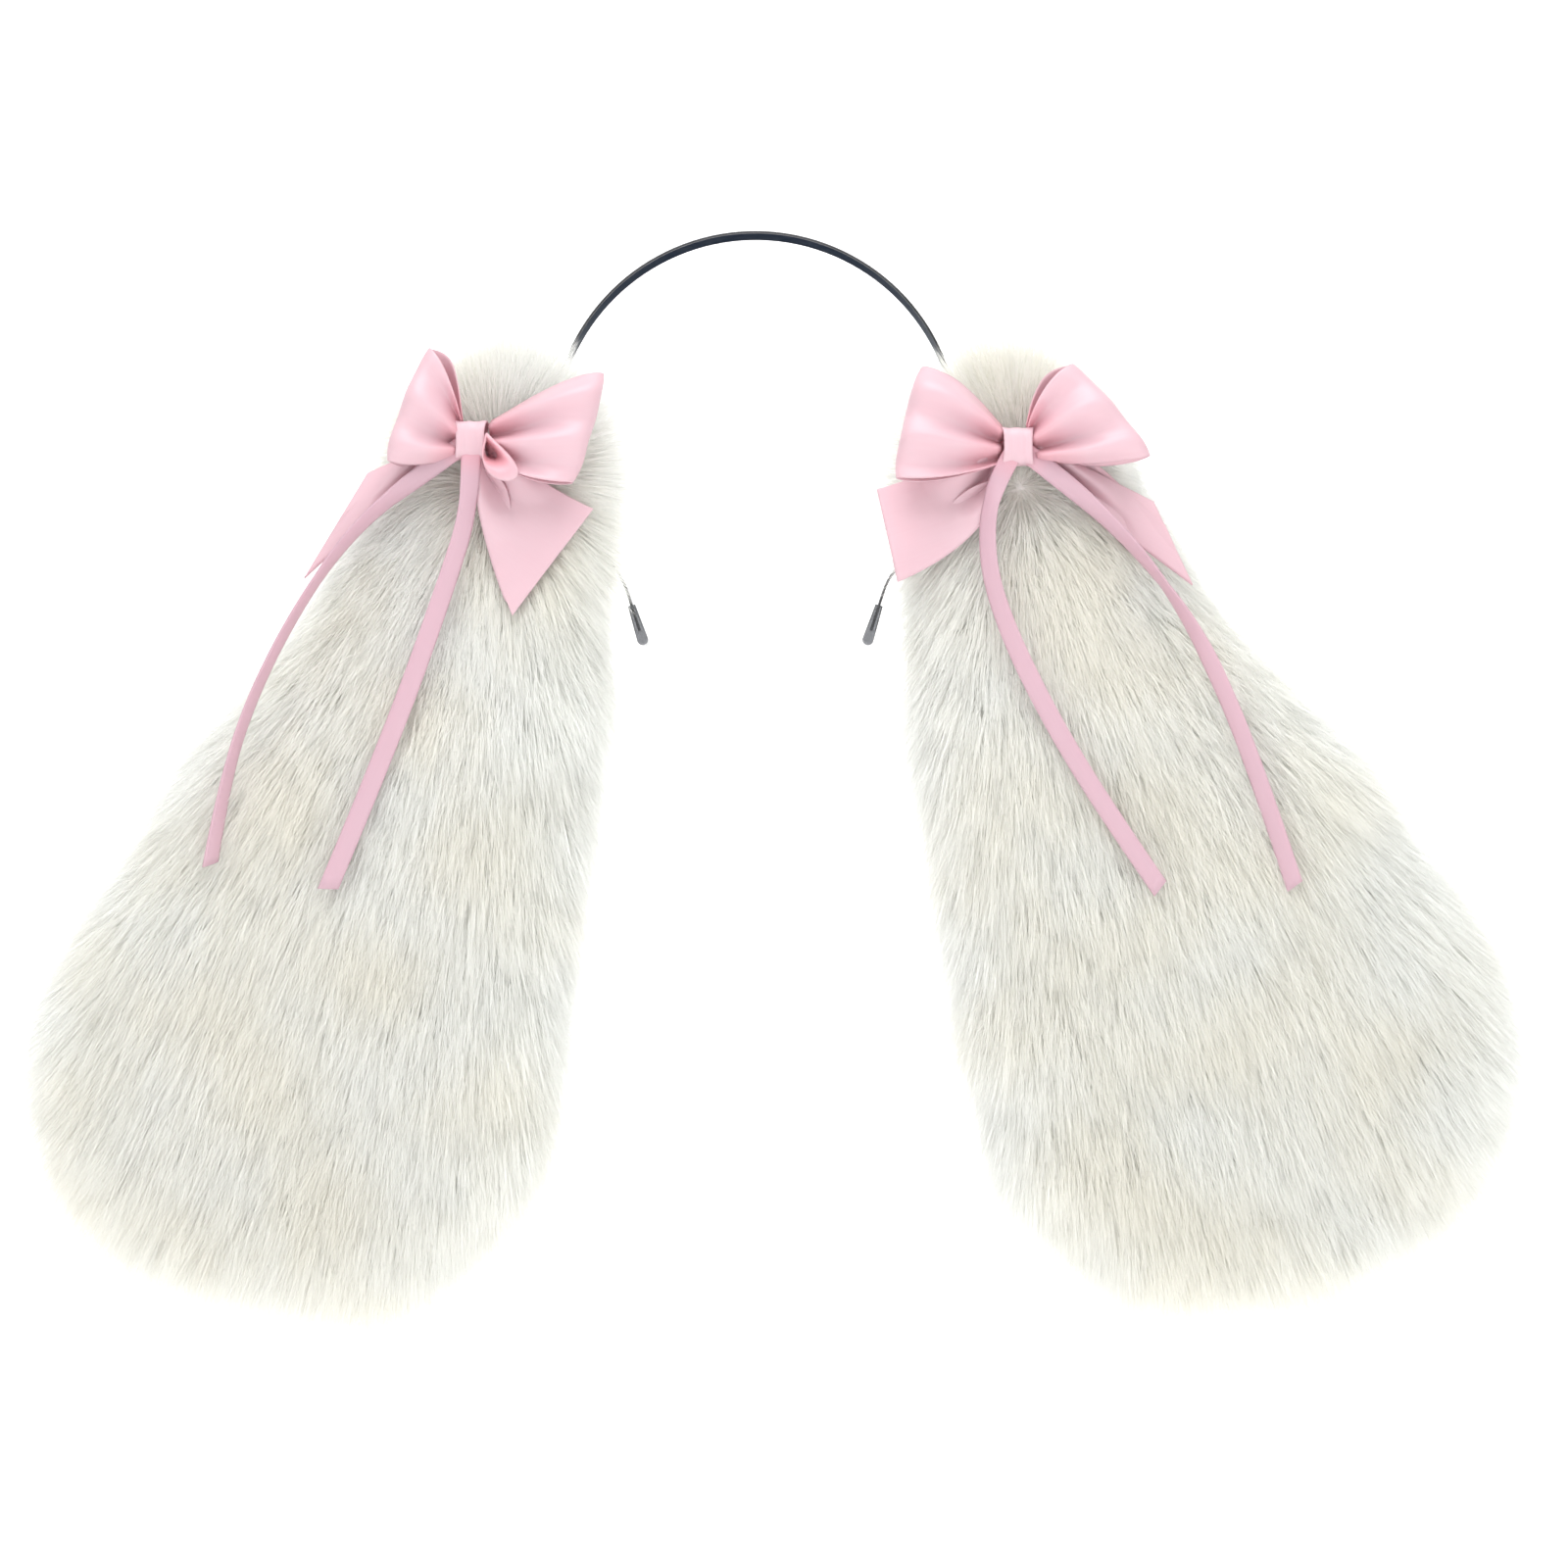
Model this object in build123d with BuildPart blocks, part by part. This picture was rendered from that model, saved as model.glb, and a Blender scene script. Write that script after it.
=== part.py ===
from build123d import *
import math
import os

# Headband with two long-haired hanging ears, each with a ribbon bow. Millimetres.
# +Z is up as worn, the front faces -Y, and the origin is the centre of the round crown, in the
# middle of the strip's width, where the top of the wearer's head sits.

os.makedirs("parts", exist_ok=True)

# Spring-steel strip: a round crown, and on each leg a hook inward and a flare out to the tip.
BAND_RADIUS = 68.0  # to the middle of the strip
BAND_WIDTH = 9.0
BAND_THICKNESS = 0.9
BAND_EDGE_ROUND = 0.25
CROWN_HALF_SWEEP = 118.0  # degrees from the top to where the hook starts
HOOK_RADIUS = 22.0
HOOK_SWEEP = 30.0
FLARE_RADIUS = 22.0
FLARE_SWEEP = 40.0
TIP_RUN = 14.0

# Clear drop-shaped cap pushed over each tip.
CAP_WALL = 0.8
CAP_FIT = 0.05
CAP_POCKET = 9.0  # how far the strip goes in
CAP_NOSE = 5.0  # solid length beyond the strip's end
CAP_BEAD_RADIUS = 1.9
CAP_ROUND = 0.7

# Cloth sleeve that the strip runs through, sewn to the back of each ear.
SLEEVE_CLOTH = 1.2
SLEEVE_CLEARANCE = 0.35
SLEEVE_SWEEP = 30.0
SLEEVE_PLACE = 98.0  # degrees from the crown's top to the middle of the sleeve
SLEEVE_EDGE_ROUND = 0.5

# Thread shank between sleeve and ear, with its knot inside the back panel.
SHANK_RADIUS = 1.5
SHANK_CLEARANCE = 0.35
SHANK_KNOT_RADIUS = 3.2
SHANK_KNOT_THICKNESS = 1.2
EAR_GAP = 0.95  # between the sleeve and the ear's back

# Ear: two fur-fabric panels sewn together round a soft filling.
EAR_ROOT_OUT = 11.0  # outward from the strip's widest place to the top of the ear
EAR_ROOT_Z = 18.0
EAR_LEAN = {"left": 17.0, "right": 20.0}  # degrees outward from straight down
EAR_LENGTH = 312.0
EAR_HALF_DEPTH = 13.0
EAR_EDGE_ROUND = 9.0
EAR_CLOTH = 2.0
FILLING_GAP = 0.2
RIM_PILE = 8.0  # pile that lies folded over the seam round the broad end
NECK_RADIUS = 31.5
NECK_SHIFT = 4.5  # the neck is fuller towards the middle of the headband
BREADTH_RADIUS = 77.0
CORNER_RADIUS = 42.0
CORNER_SPREAD = 28.0  # from the centre line to each corner's centre
CORNER_RISE = 47.0  # from the ear's end up to the corners' centres

# Closing stitches over the seam at the top of each ear.
STITCH_RADIUS = 0.45
STITCH_LENGTH = 5.0
STITCH_COUNT = 7
STITCH_SPACING = 5.5  # along the seam
STITCH_LIFT = 0.03

# Satin bow: loops and tails of wide ribbon, gathered, tied and wrapped with a narrow one.
RIBBON_WIDTH = 38.0
RIBBON_THICKNESS = 0.8
BOW_DROP = 28.5  # down the ear from its root
BOW_SHIFT = {"left": 1.0, "right": -6.5}  # outward from the ear's centre line
PILE_UNDER_BOW = 10.7
GATHER_HEIGHT = 8.6
GATHER_HALF_DEPTH = 1.2
LAYER_GAP = 0.3
LOOP_HALF_DEPTH = 6.0
LOOPS = {  # reach from the knot, and degrees above level
    ("left", "inner"): (37.5, 5.0),
    ("left", "outer"): (25.0, 29.0),
    ("right", "inner"): (35.0, 12.5),
    ("right", "outer"): (32.0, 20.0),
}
TAIL_SPREAD = 20.0  # distance over which a tail widens from the gather
TAILS = {  # degrees below level, then the reach of the cut's upper and lower corner
    ("left", "inner"): (56.5, 38.0, 52.5),
    ("left", "outer"): (31.0, 38.0, 60.0),
    ("right", "inner"): (33.5, 43.0, 54.0),
    ("right", "outer"): (30.5, 44.0, 62.0),
}

# Wrap round the gathered middle, and the thread that ties it.
TIE_WALL = 0.5
TIE_WIDTH = 1.6
TIE_SLACK = 0.1
WRAP_THICKNESS = 0.8
WRAP_WIDTH = 10.0
WRAP_SLACK = 0.1
WRAP_ROUND = 1.2
BOW_STITCH_RADIUS = 0.8

# Two narrow satin streamers from each knot, as routes of (outward, up) from the knot.
STREAMER_WIDTH = 6.0
STREAMER_THICKNESS = 0.5
STREAMER_ROUTES = {
    ("left", "inner"): [(0, 0), (-0.5, -19), (7.8, -46), (25, -94), (44.6, -140.5)],
    ("left", "outer"): [
        (0, 0), (17, -11.5), (37, -28), (54, -52), (68, -79), (77, -106), (81.6, -132.9),
    ],
    ("right", "inner"): [
        (0, 0), (-8.5, -13), (-10, -35), (-4, -56), (9.5, -84), (27, -113), (44.6, -138.4),
    ],
    ("right", "outer"): [
        (0, 0), (17, -12.5), (37, -31.5), (54, -54), (66.5, -80), (77.5, -109.5), (86.8, -137.8),
    ],
}

# Places that follow from the sizes above.
SIDES = {"left": -1, "right": 1}
SLEEVE_HALF_WIDTH = BAND_WIDTH / 2 + SLEEVE_CLEARANCE + SLEEVE_CLOTH
EAR_BACK = SLEEVE_HALF_WIDTH + EAR_GAP  # distances in front of the strip's middle
EAR_DEPTH = EAR_BACK + EAR_HALF_DEPTH
EAR_FRONT = EAR_DEPTH + EAR_HALF_DEPTH
TAIL_TO_GATHER = GATHER_HALF_DEPTH + LAYER_GAP + RIBBON_THICKNESS
INNER_STREAMER_FRONT = GATHER_HALF_DEPTH + 2 * (LAYER_GAP + STREAMER_THICKNESS)
TIE_HALF_DEPTH = max(TAIL_TO_GATHER, INNER_STREAMER_FRONT) + TIE_SLACK
TIE_HALF_HEIGHT = GATHER_HEIGHT / 2 + TIE_SLACK
WRAP_HALF_DEPTH = TIE_HALF_DEPTH + TIE_WALL + WRAP_SLACK
WRAP_HALF_HEIGHT = TIE_HALF_HEIGHT + TIE_WALL + WRAP_SLACK
BOW_DEPTH = EAR_FRONT + PILE_UNDER_BOW + WRAP_HALF_DEPTH + WRAP_THICKNESS


def front_plane(depth):
    """Upright plane facing the front, this far in front of the strip's middle."""
    return Plane.XZ.offset(depth)


def finish_piece(piece, label):
    """Names the finished piece and writes it out."""
    piece.part.label = label
    export_step(piece.part, f"parts/{label}.step")


def leg_line(sign):
    """Draws one leg's middle line from the crown's top, and returns its last, straight run."""
    crown = JernArc((0, BAND_RADIUS), (sign, 0), BAND_RADIUS, -sign * CROWN_HALF_SWEEP)
    hook = JernArc(crown @ 1, crown % 1, HOOK_RADIUS, -sign * HOOK_SWEEP)
    flare = JernArc(hook @ 1, hook % 1, FLARE_RADIUS, sign * FLARE_SWEEP)
    return Line(flare @ 1, flare @ 1 + TIP_RUN * (flare % 1))


# The strip, one piece bent from end to end, its long edges eased.
TIP_LINES = {}
with BuildPart() as band_strip:
    with BuildSketch(front_plane(0)):
        for side, sign in SIDES.items():
            with BuildLine():
                TIP_LINES[side] = leg_line(sign)
            trace(line_width=BAND_THICKNESS)
    extrude(amount=BAND_WIDTH / 2, both=True)
    fillet(band_strip.faces().filter_by(Axis.Y).edges(), BAND_EDGE_ROUND)
finish_piece(band_strip, "band_strip")

# The caps: a drop outline as deep as the strip is wide, with a pocket for the strip's end.
for side in SIDES:
    tip, run = TIP_LINES[side] @ 1, TIP_LINES[side] % 1
    along_tip = Plane(origin=(tip.X, 0, tip.Y), x_dir=(run.X, 0, run.Y), z_dir=(0, -1, 0))
    pocket_height = BAND_THICKNESS + 2 * CAP_FIT
    pocket_half_width = BAND_WIDTH / 2 + CAP_FIT
    with BuildPart() as tip_cap:
        with BuildSketch(along_tip):
            with Locations((-CAP_POCKET / 2, 0)):
                Rectangle(CAP_POCKET, pocket_height + 2 * CAP_WALL)
            with Locations((CAP_NOSE - CAP_BEAD_RADIUS, 0)):
                Circle(CAP_BEAD_RADIUS)
            make_hull()
        extrude(amount=pocket_half_width + CAP_WALL, both=True)
        fillet(tip_cap.faces().filter_by(Axis.Y).edges(), CAP_ROUND)
        with BuildSketch(along_tip):
            with Locations((-CAP_POCKET / 2, 0)):
                Rectangle(CAP_POCKET + 2 * CAP_FIT, pocket_height)
        extrude(amount=pocket_half_width, both=True, mode=Mode.SUBTRACT)
    finish_piece(tip_cap, f"{side}_tip_cap")


def anchor_place(sign):
    """Where the shank joins sleeve and ear, as (x, z)."""
    angle = math.radians(SLEEVE_PLACE)
    return sign * BAND_RADIUS * math.sin(angle), BAND_RADIUS * math.cos(angle)


# The sleeves, each a flat tube carried round the crown, and the thread shank on its front.
for side, sign in SIDES.items():
    start = math.radians(sign * SLEEVE_PLACE - SLEEVE_SWEEP / 2)
    outward = Vector(math.sin(start), 0, math.cos(start))
    tunnel_height = BAND_THICKNESS + 2 * SLEEVE_CLEARANCE
    section = Plane(
        origin=BAND_RADIUS * outward, x_dir=outward, z_dir=outward.cross(Vector(0, 1, 0))
    )
    with BuildPart() as sleeve:
        with BuildSketch(section):
            RectangleRounded(
                tunnel_height + 2 * SLEEVE_CLOTH, 2 * SLEEVE_HALF_WIDTH, SLEEVE_EDGE_ROUND
            )
            Rectangle(tunnel_height, BAND_WIDTH + 2 * SLEEVE_CLEARANCE, mode=Mode.SUBTRACT)
        revolve(axis=Axis.Y, revolution_arc=SLEEVE_SWEEP)
    finish_piece(sleeve, f"{side}_sleeve")

    shank_end = EAR_BACK + EAR_CLOTH + SHANK_CLEARANCE
    with BuildPart() as shank:
        with BuildSketch(front_plane(SLEEVE_HALF_WIDTH)):
            with Locations(anchor_place(sign)):
                Circle(SHANK_RADIUS)
        extrude(amount=shank_end - SLEEVE_HALF_WIDTH)
        with BuildSketch(front_plane(shank_end)):
            with Locations(anchor_place(sign)):
                Circle(SHANK_KNOT_RADIUS)
        extrude(amount=SHANK_KNOT_THICKNESS)
        fillet(shank.faces().sort_by(Axis.Y)[0].edges(), SHANK_KNOT_THICKNESS / 3)
    finish_piece(shank, f"{side}_anchor_stitches")


def ear_plane(side):
    """Middle plane of an ear: x runs outward across it, and y runs down it from its root."""
    sign, lean = SIDES[side], math.radians(EAR_LEAN[side])
    root = (sign * (BAND_RADIUS + EAR_ROOT_OUT), -EAR_DEPTH, EAR_ROOT_Z)
    return Plane(origin=root, x_dir=(sign * math.cos(lean), 0, math.sin(lean)), z_dir=(0, sign, 0))


def ear_outline(side, inset, rim):
    """The ear's flat pattern, smaller all round by the inset and at the broad end by the rim."""
    with BuildSketch(ear_plane(side)) as pattern:
        with Locations((-NECK_SHIFT, NECK_RADIUS)):
            Circle(NECK_RADIUS - inset)
        with Locations((0, EAR_LENGTH - BREADTH_RADIUS)):
            Circle(BREADTH_RADIUS - inset - rim)
        for spread in (-CORNER_SPREAD, CORNER_SPREAD):
            with Locations((spread, EAR_LENGTH - CORNER_RISE)):
                Circle(CORNER_RADIUS - inset - rim)
        make_hull()
    return pattern.sketch


def ear_blank(side, inset, rim):
    """A whole stuffed ear with rounded edges, smaller by the inset and the rim."""
    with BuildPart() as blank:
        extrude(ear_outline(side, inset, rim), amount=EAR_HALF_DEPTH - inset, both=True)
        fillet(blank.faces().filter_by(Axis.Y).edges(), EAR_EDGE_ROUND - inset)
    return blank.part


def knot_place(side):
    """Middle of a bow's knot, as (x, z)."""
    middle = ear_plane(side).from_local_coords((BOW_SHIFT[side], BOW_DROP, 0))
    return middle.X, middle.Z


# The ears. Each panel is half of the shell, and the back one has the hole for the shank.
for side, sign in SIDES.items():
    outer, hollow = ear_blank(side, 0, 0), ear_blank(side, EAR_CLOTH, RIM_PILE)
    with BuildPart() as front_panel:
        add(outer)
        add(hollow, mode=Mode.SUBTRACT)
        split(bisect_by=front_plane(EAR_DEPTH), keep=Keep.TOP)
    finish_piece(front_panel, f"{side}_ear_front_panel")

    with BuildPart() as back_panel:
        add(outer)
        add(hollow, mode=Mode.SUBTRACT)
        split(bisect_by=front_plane(EAR_DEPTH), keep=Keep.BOTTOM)
        with BuildSketch(front_plane(EAR_BACK)):
            with Locations(anchor_place(sign)):
                Circle(SHANK_RADIUS + SHANK_CLEARANCE)
        extrude(amount=EAR_CLOTH, mode=Mode.SUBTRACT)
    finish_piece(back_panel, f"{side}_ear_back_panel")

    pocket_end = shank_end + SHANK_KNOT_THICKNESS + SHANK_CLEARANCE
    with BuildPart() as filling:
        add(ear_blank(side, EAR_CLOTH + FILLING_GAP, RIM_PILE))
        with BuildSketch(front_plane(EAR_BACK)):
            with Locations(anchor_place(sign)):
                Circle(SHANK_KNOT_RADIUS + SHANK_CLEARANCE)
        extrude(amount=pocket_end - EAR_BACK, mode=Mode.SUBTRACT)
    finish_piece(filling, f"{side}_ear_filling")

    # A row of short stitches lying across the seam round the neck's top.
    row_radius = NECK_RADIUS + STITCH_RADIUS + STITCH_LIFT
    with BuildPart() as stitches:
        for number in range(STITCH_COUNT):
            turn = (number - (STITCH_COUNT - 1) / 2) * STITCH_SPACING / NECK_RADIUS
            across, down = row_radius * math.sin(turn), -row_radius * math.cos(turn)
            in_ear = (across - NECK_SHIFT, NECK_RADIUS + down, 0)
            foot = ear_plane(side).from_local_coords(in_ear)
            with BuildSketch(front_plane(EAR_DEPTH - STITCH_LENGTH / 2)):
                with Locations((foot.X, foot.Z)):
                    Circle(STITCH_RADIUS)
            extrude(amount=STITCH_LENGTH)
    finish_piece(stitches, f"{side}_closing_stitches")


def direction_plane(side, part, degrees, across):
    """Plane at the knot whose x runs inward or outward at this slope, seen along `across`."""
    x, z = knot_place(side)
    level = SIDES[side] if part == "outer" else -SIDES[side]
    slope = math.radians(degrees)
    run = Vector(level * math.cos(slope), 0, math.sin(slope))
    normal = Vector(0, -1, 0) if across == "front" else run.cross(Vector(0, 1, 0))
    return Plane(origin=(x, -BOW_DEPTH, z), x_dir=run, z_dir=normal)


def ribbon_loop(side, part):
    """One loop: a drop-shaped ring of ribbon, tapering in width to the gather."""
    reach, slope = LOOPS[side, part]
    from_above = direction_plane(side, part, slope, "edge")
    front = -1 if from_above.y_dir.Y > 0 else 1
    bulge = LOOP_HALF_DEPTH - GATHER_HALF_DEPTH
    with BuildPart() as loop:
        for shrink, mode in ((0, Mode.ADD), (RIBBON_THICKNESS, Mode.SUBTRACT)):
            with BuildSketch(from_above):
                with Locations((2 * GATHER_HALF_DEPTH, 0)):
                    Circle(GATHER_HALF_DEPTH - shrink)
                with Locations((reach - LOOP_HALF_DEPTH, front * bulge)):
                    Circle(LOOP_HALF_DEPTH - shrink)
                make_hull()
            extrude(amount=RIBBON_WIDTH / 2, both=True, mode=mode)
        with BuildSketch(direction_plane(side, part, slope, "front")):
            with BuildLine():
                Polyline(
                    (0, GATHER_HEIGHT / 2),
                    (WRAP_WIDTH / 2, GATHER_HEIGHT / 2),
                    (reach, RIBBON_WIDTH / 2),
                    (reach, -RIBBON_WIDTH / 2),
                    (WRAP_WIDTH / 2, -GATHER_HEIGHT / 2),
                    (0, -GATHER_HEIGHT / 2),
                    close=True,
                )
            make_face()
        extrude(amount=2 * LOOP_HALF_DEPTH, both=True, mode=Mode.INTERSECT)
    return loop.part


def tail_outline(side, part):
    """Draws one tail: it widens from the gather to the ribbon's width and has a slant cut."""
    _, upper, lower = TAILS[side, part]
    lean = -1 if part == "outer" else 1
    lean *= -SIDES[side]
    Polyline(
        (0, lean * GATHER_HEIGHT / 2),
        (WRAP_WIDTH / 2, lean * GATHER_HEIGHT / 2),
        (TAIL_SPREAD, lean * RIBBON_WIDTH / 2),
        (upper, lean * RIBBON_WIDTH / 2),
        (lower, -lean * RIBBON_WIDTH / 2),
        (TAIL_SPREAD, -lean * RIBBON_WIDTH / 2),
        (WRAP_WIDTH / 2, -lean * GATHER_HEIGHT / 2),
        (0, -lean * GATHER_HEIGHT / 2),
        close=True,
    )


def upright_ring(side, half_depth, half_height, wall, width, corner):
    """A band of this width round the gather, seen from its open end."""
    x, z = knot_place(side)
    end_on = Plane(origin=(x, -BOW_DEPTH, z), x_dir=(0, 1, 0), z_dir=(1, 0, 0))
    with BuildPart() as ring:
        with BuildSketch(end_on):
            RectangleRounded(2 * (half_depth + wall), 2 * (half_height + wall), corner + wall)
            RectangleRounded(2 * half_depth, 2 * half_height, corner, mode=Mode.SUBTRACT)
        extrude(amount=width / 2, both=True)
    return ring


# The bows, from the gathered loops and tails out to the wrap and the thread that holds it on.
for side, sign in SIDES.items():
    knot_x, knot_z = knot_place(side)
    loops = [ribbon_loop(side, part) for part in ("inner", "outer")]
    with BuildPart() as bow_loops:
        with BuildSketch(front_plane(BOW_DEPTH)):
            with Locations((knot_x, knot_z)):
                Rectangle(6 * GATHER_HALF_DEPTH, GATHER_HEIGHT)
        extrude(amount=GATHER_HALF_DEPTH, both=True)
        for loop in loops:
            add(loop)
    finish_piece(bow_loops, f"{side}_bow_loops")

    with BuildPart() as bow_tails:
        for part in ("inner", "outer"):
            slope = -TAILS[side, part][0]
            with BuildSketch(direction_plane(side, part, slope, "front")) as tail:
                with BuildLine():
                    tail_outline(side, part)
                make_face()
            extrude(tail.sketch.moved(Location((0, TAIL_TO_GATHER, 0))), amount=RIBBON_THICKNESS)
    finish_piece(bow_tails, f"{side}_bow_tails")

    tie = upright_ring(side, TIE_HALF_DEPTH, TIE_HALF_HEIGHT, TIE_WALL, TIE_WIDTH, TIE_WALL)
    finish_piece(tie, f"{side}_bow_tie_thread")
    wrap = upright_ring(
        side, WRAP_HALF_DEPTH, WRAP_HALF_HEIGHT, WRAP_THICKNESS, WRAP_WIDTH, WRAP_ROUND
    )
    finish_piece(wrap, f"{side}_bow_knot_wrap")

    with BuildPart() as bow_stitches:
        with BuildSketch(front_plane(EAR_FRONT)):
            with Locations((knot_x, knot_z)):
                Circle(BOW_STITCH_RADIUS)
        extrude(amount=PILE_UNDER_BOW)
    finish_piece(bow_stitches, f"{side}_bow_stitches")

# The streamers: flat ribbons along gently bent routes, one in front of the other at the knot.
for (side, part), route in STREAMER_ROUTES.items():
    knot_x, knot_z = knot_place(side)
    layer = 1 if part == "inner" else 0
    back = BOW_DEPTH + GATHER_HALF_DEPTH + LAYER_GAP + layer * (STREAMER_THICKNESS + LAYER_GAP)
    points = [Vector(knot_x + SIDES[side] * out, knot_z + up) for out, up in route]
    runs = [b - a for a, b in zip(points, points[1:])]
    radii = []
    for before, after in zip(runs, runs[1:]):
        half_turn = math.radians(before.get_angle(after)) / 2
        radii.append(0.45 * min(before.length, after.length) / math.tan(half_turn))
    with BuildPart() as streamer:
        with BuildSketch(front_plane(back)):
            with BuildLine() as path:
                FilletPolyline(*points, radius=radii)
            trace(line_width=STREAMER_WIDTH)
        extrude(amount=STREAMER_THICKNESS)
    finish_piece(streamer, f"{side}_{part}_streamer")
    length = path.wires()[0].length
    expected = STREAMER_WIDTH * STREAMER_THICKNESS * length
    print(
        f"{side} {part} streamer: {length:.1f} mm long, radii", [round(r) for r in radii],
        f"volume {streamer.part.volume:.1f} of {expected:.1f} mm3",
    )
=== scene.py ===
import math

import bpy
import numpy as np
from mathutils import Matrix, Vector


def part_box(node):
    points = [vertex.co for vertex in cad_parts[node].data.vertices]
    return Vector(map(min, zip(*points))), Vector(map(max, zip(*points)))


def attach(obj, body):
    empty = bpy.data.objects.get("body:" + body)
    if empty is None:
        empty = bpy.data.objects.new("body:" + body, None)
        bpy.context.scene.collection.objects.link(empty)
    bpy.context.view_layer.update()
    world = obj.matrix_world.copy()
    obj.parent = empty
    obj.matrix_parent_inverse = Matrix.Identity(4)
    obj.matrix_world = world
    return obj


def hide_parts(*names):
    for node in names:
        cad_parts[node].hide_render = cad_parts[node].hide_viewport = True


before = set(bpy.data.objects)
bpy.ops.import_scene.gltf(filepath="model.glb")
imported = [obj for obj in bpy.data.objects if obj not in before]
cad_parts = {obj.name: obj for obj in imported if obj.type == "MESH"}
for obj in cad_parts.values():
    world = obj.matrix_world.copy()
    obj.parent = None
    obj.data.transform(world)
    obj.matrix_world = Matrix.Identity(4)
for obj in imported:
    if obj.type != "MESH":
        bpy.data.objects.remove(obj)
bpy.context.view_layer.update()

scene = bpy.context.scene
SIDES = {"left": -1, "right": 1}

# ---------------------------------------------------------------------------------------------
# Camera. It stands level and straight in front, as far off as a catalogue photographer would,
# and takes in a square a little wider than the two ears.
SEEN_WIDTH = 0.528  # at the strip's own plane
CAMERA_DISTANCE = 0.70
CAMERA_ACROSS = 0.0096
CAMERA_HEIGHT = -0.1167
SENSOR_WIDTH = 36.0

camera_data = bpy.data.cameras.new("camera")
camera_data.sensor_width = SENSOR_WIDTH
camera_data.lens = SENSOR_WIDTH * CAMERA_DISTANCE / SEEN_WIDTH
camera = bpy.data.objects.new("camera", camera_data)
camera.location = (CAMERA_ACROSS, -CAMERA_DISTANCE, CAMERA_HEIGHT)
camera.rotation_euler = (math.pi / 2, 0, 0)
scene.collection.objects.link(camera)
scene.camera = camera

# ---------------------------------------------------------------------------------------------
# Streamers. Two narrow woven satin ribbons come out of each knot, lie on the pile and hang as
# they fall, some turned half edge-on; each is cut on a slight slant.
STREAMER_WIDTH = 0.006
STREAMER_THICKNESS = 0.0004
STREAMER_CUP = 0.0004  # how far the middle stands proud of the edges
STREAMER_FRONT = {"outer": -0.00175, "inner": -0.00255}  # in front of the knot's middle
STREAMER_ROUTES = {  # outward from the knot, then up, in metres
    ("left", "inner"): [(0, 0), (-0.0005, -0.019), (0.0078, -0.046), (0.025, -0.094),
                        (0.0446, -0.1405)],
    ("left", "outer"): [(0, 0), (0.017, -0.0115), (0.037, -0.028), (0.054, -0.052),
                        (0.068, -0.079), (0.077, -0.106), (0.0816, -0.1329)],
    ("right", "inner"): [(0, 0), (-0.0085, -0.013), (-0.010, -0.035), (-0.004, -0.056),
                         (0.0095, -0.084), (0.027, -0.113), (0.0446, -0.1384)],
    ("right", "outer"): [(0, 0), (0.017, -0.0125), (0.037, -0.0315), (0.054, -0.054),
                         (0.0665, -0.080), (0.0775, -0.1095), (0.0868, -0.1378)],
}
STREAMER_TWISTS = {  # shares of the length, and the turn there in degrees
    ("left", "inner"): ([0, 0.05, 0.13, 0.3, 0.6, 1], [0, 0, 38, 26, 8, 14]),
    ("left", "outer"): ([0, 0.05, 0.2, 0.4, 0.8, 1], [0, 0, 56, 76, 72, 58]),
    ("right", "inner"): ([0, 0.05, 0.13, 0.3, 0.5, 1], [0, 0, -40, -36, -18, -24]),
    ("right", "outer"): ([0, 0.05, 0.2, 0.38, 0.55, 1], [0, 0, -48, -78, -44, -38]),
}
STREAMER_SLANT = 0.0011
SATIN_NARROW = (0.68, 0.49, 0.56)
SATIN_NARROW_DEEP = (0.63, 0.43, 0.50)
SATIN_NARROW_THROUGH = (0.95, 0.60, 0.68)
# Painted shade: the deeper pink laid over the last stretch of ribbon before each gather.
SATIN_GATHER_SHADE = (0.86, 0.38, 0.44)
SATIN_GATHER_SHADE_RUN = 0.012
SATIN_SHEERNESS = 0.25


class Value:
    """A socket of a finish. Sums, differences, products and powers of it add Math nodes."""

    def __init__(self, finish, socket):
        self.finish, self.socket = finish, socket

    def _math(self, operation, first, second):
        return self.finish.node("ShaderNodeMath", {"operation": operation}, {0: first, 1: second})

    def __add__(self, other):
        return self._math("ADD", self, other)

    def __radd__(self, other):
        return self._math("ADD", other, self)

    def __sub__(self, other):
        return self._math("SUBTRACT", self, other)

    def __rsub__(self, other):
        return self._math("SUBTRACT", other, self)

    def __mul__(self, other):
        return self._math("MULTIPLY", self, other)

    def __rmul__(self, other):
        return self._math("MULTIPLY", other, self)

    def __pow__(self, other):
        return self._math("POWER", self, other)

    def clipped(self):
        """The same value held between 0 and 1."""
        return self.finish.node("ShaderNodeClamp", {}, {"Value": self})


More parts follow.
